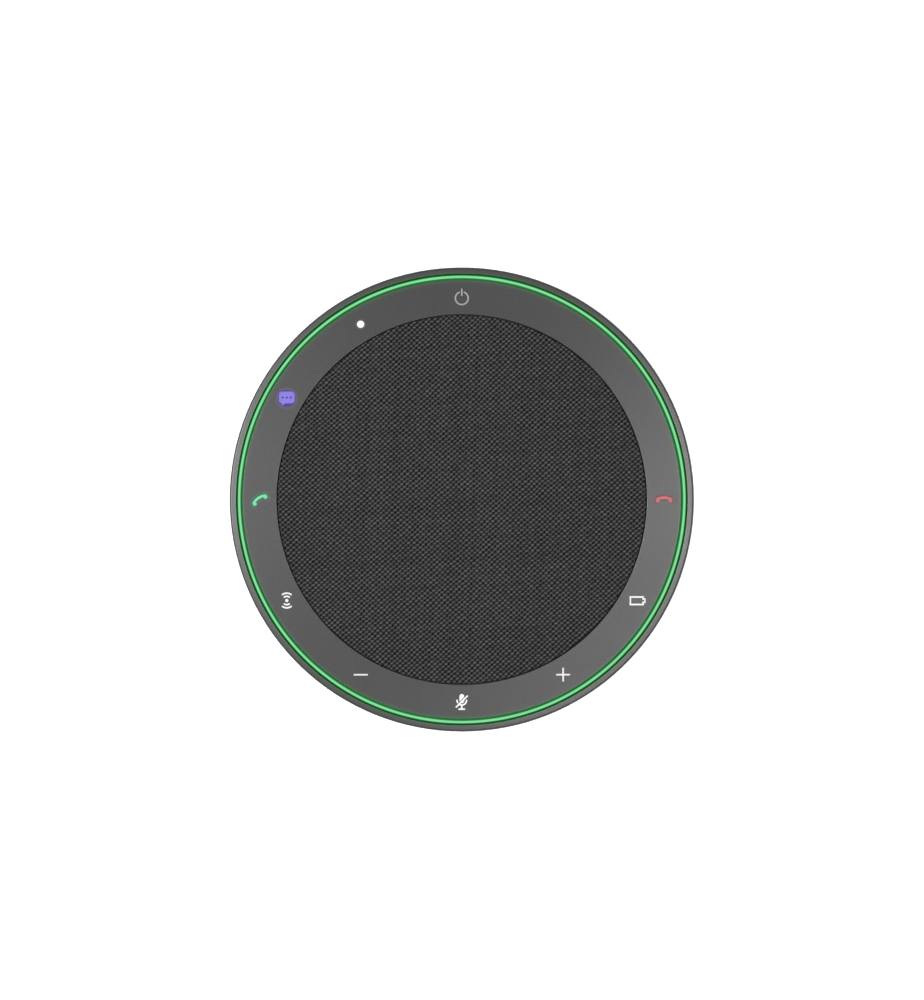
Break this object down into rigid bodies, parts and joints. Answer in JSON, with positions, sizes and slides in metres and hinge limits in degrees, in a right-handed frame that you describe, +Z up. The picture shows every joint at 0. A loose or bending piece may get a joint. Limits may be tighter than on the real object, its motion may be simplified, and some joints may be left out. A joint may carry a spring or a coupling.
{
  "type": "conference speakerphone",
  "caption": "Round table-top conference speakerphone with a crowned cloth grille, a ring of lit touch keys round it, a thin green light ring and a rubber foot.",
  "frame": {"origin": "centre of the rubber foot's resting face, on the table", "axes": "+Z up out of the grille, +Y towards the power key and the USB socket, +X towards the hang-up key"},
  "size_m": [0.1324, 0.1324, 0.0335],
  "materials": {
    "housing": "fine satin texture, charcoal",
    "panel": "soft-touch coating, charcoal",
    "inner_plastic": "as moulded, black",
    "cloth": "plain-woven melange yarn, dark grey",
    "foot_rubber": "matt moulded rubber",
    "seal_rubber": "soft silicone",
    "plate": "satin, blank",
    "light_green": "translucent, lit green",
    "light_white_channel": "white reflector",
    "key_grey": "translucent, dim grey",
    "key_white": "translucent, lit white",
    "key_violet": "translucent, lit violet",
    "key_green": "translucent, lit green",
    "key_red": "translucent, lit red",
    "lamp": "lamp body with clear dome",
    "board_black": "black solder mask",
    "board_green": "green solder mask",
    "chip": "moulded package",
    "can_metal": "bright can",
    "tin_plate": "tinned sheet",
    "dome_steel": "spring steel",
    "screw_steel": "black-passivated",
    "basket_steel": "black powder paint",
    "motor_steel": "zinc plated",
    "ferrite": "sintered, ground faces",
    "paper_cone": "coated pulp, black",
    "coil_former": "thin foil",
    "copper": "enamelled copper wire",
    "spider_cloth": "resin-dipped cotton",
    "foam": "closed-cell foam",
    "terminal_board": "phenolic board",
    "cell_sleeve": "shrink sleeve, blue",
    "cell_steel": "nickel-plated",
    "lead_red": "red insulation",
    "lead_black": "black insulation",
    "plug_nylon": "natural nylon",
    "flex_film": "polyimide film"
  },
  "bodies": {
    "housing": {"base_plate": "plate", "battery_cell": "cell_steel", "battery_lead": "lead_red", "battery_pads": "foam", "battery_sleeve": "cell_sleeve", "board_screws": "screw_steel", "capacitors": "can_metal", "case_screws": "screw_steel", "case_seal": "seal_rubber", "flex_connectors": "plug_nylon", "grille_cloth": "cloth", "grille_plate": "inner_plastic", "key_board": "board_black", "key_domes": "dome_steel", "key_flex": "flex_film", "key_leds": "lamp", "key_panel": "panel", "lead_plugs": "plug_nylon", "light_channel": "light_white_channel", "light_ring": "light_green", "lower_housing": "housing", "main_board": "board_green", "main_chips": "chip", "mic_boots": "seal_rubber", "mic_cards": "board_black", "mic_flexes": "flex_film", "microphones": "can_metal", "mid_frame": "inner_plastic", "panel_screws": "screw_steel", "ring_leds": "lamp", "rubber_foot": "foot_rubber", "shield_can": "tin_plate", "speaker_frame": "basket_steel", "speaker_gasket": "foam", "speaker_lead": "lead_black", "speaker_magnet": "ferrite", "speaker_screws": "screw_steel", "speaker_spider": "spider_cloth", "speaker_surround": "seal_rubber", "speaker_terminals": "terminal_board", "speaker_top_plate": "motor_steel", "speaker_yoke": "motor_steel", "upper_housing": "housing", "usb_bezel": "inner_plastic", "usb_socket": "tin_plate", "usb_tongue": "inner_plastic"},
    "power_key": {"power_key": "key_grey"},
    "smart_key": {"smart_key": "key_white"},
    "chat_key": {"chat_key": "key_violet"},
    "answer_key": {"answer_key": "key_green"},
    "pairing_key": {"pairing_key": "key_white"},
    "volume_down_key": {"volume_down_key": "key_white"},
    "mute_key": {"mute_key": "key_white"},
    "volume_up_key": {"volume_up_key": "key_white"},
    "battery_key": {"battery_key": "key_white"},
    "hang_up_key": {"hang_up_key": "key_red"},
    "voice_coil_and_cone": {"speaker_cone": "paper_cone", "speaker_dust_cap": "paper_cone", "voice_coil_former": "coil_former", "voice_coil_winding": "copper"}
  },
  "joints": [
    {"name": "power_key_press", "type": "slide", "parent": "housing", "child": "power_key", "axis": [0, 0, -1], "range_m": [0, 0.0004], "stiffness_N_per_m": 1500, "springref_m": -0.0002, "deforming": ["key_domes"]},
    {"name": "smart_key_press", "type": "slide", "parent": "housing", "child": "smart_key", "axis": [0, 0, -1], "range_m": [0, 0.0004], "stiffness_N_per_m": 1500, "springref_m": -0.0002, "deforming": ["key_domes"]},
    {"name": "chat_key_press", "type": "slide", "parent": "housing", "child": "chat_key", "axis": [0, 0, -1], "range_m": [0, 0.0004], "stiffness_N_per_m": 1500, "springref_m": -0.0002, "deforming": ["key_domes"]},
    {"name": "answer_key_press", "type": "slide", "parent": "housing", "child": "answer_key", "axis": [0, 0, -1], "range_m": [0, 0.0004], "stiffness_N_per_m": 1500, "springref_m": -0.0002, "deforming": ["key_domes"]},
    {"name": "pairing_key_press", "type": "slide", "parent": "housing", "child": "pairing_key", "axis": [0, 0, -1], "range_m": [0, 0.0004], "stiffness_N_per_m": 1500, "springref_m": -0.0002, "deforming": ["key_domes"]},
    {"name": "volume_down_key_press", "type": "slide", "parent": "housing", "child": "volume_down_key", "axis": [0, 0, -1], "range_m": [0, 0.0004], "stiffness_N_per_m": 1500, "springref_m": -0.0002, "deforming": ["key_domes"]},
    {"name": "mute_key_press", "type": "slide", "parent": "housing", "child": "mute_key", "axis": [0, 0, -1], "range_m": [0, 0.0004], "stiffness_N_per_m": 1500, "springref_m": -0.0002, "deforming": ["key_domes"]},
    {"name": "volume_up_key_press", "type": "slide", "parent": "housing", "child": "volume_up_key", "axis": [0, 0, -1], "range_m": [0, 0.0004], "stiffness_N_per_m": 1500, "springref_m": -0.0002, "deforming": ["key_domes"]},
    {"name": "battery_key_press", "type": "slide", "parent": "housing", "child": "battery_key", "axis": [0, 0, -1], "range_m": [0, 0.0004], "stiffness_N_per_m": 1500, "springref_m": -0.0002, "deforming": ["key_domes"]},
    {"name": "hang_up_key_press", "type": "slide", "parent": "housing", "child": "hang_up_key", "axis": [0, 0, -1], "range_m": [0, 0.0004], "stiffness_N_per_m": 1500, "springref_m": -0.0002, "deforming": ["key_domes"]},
    {"name": "cone_stroke", "type": "slide", "parent": "housing", "child": "voice_coil_and_cone", "axis": [0, 0, 1], "range_m": [-0.002, 0.002], "stiffness_N_per_m": 1250, "deforming": ["speaker_surround", "speaker_spider"]}
  ]
}
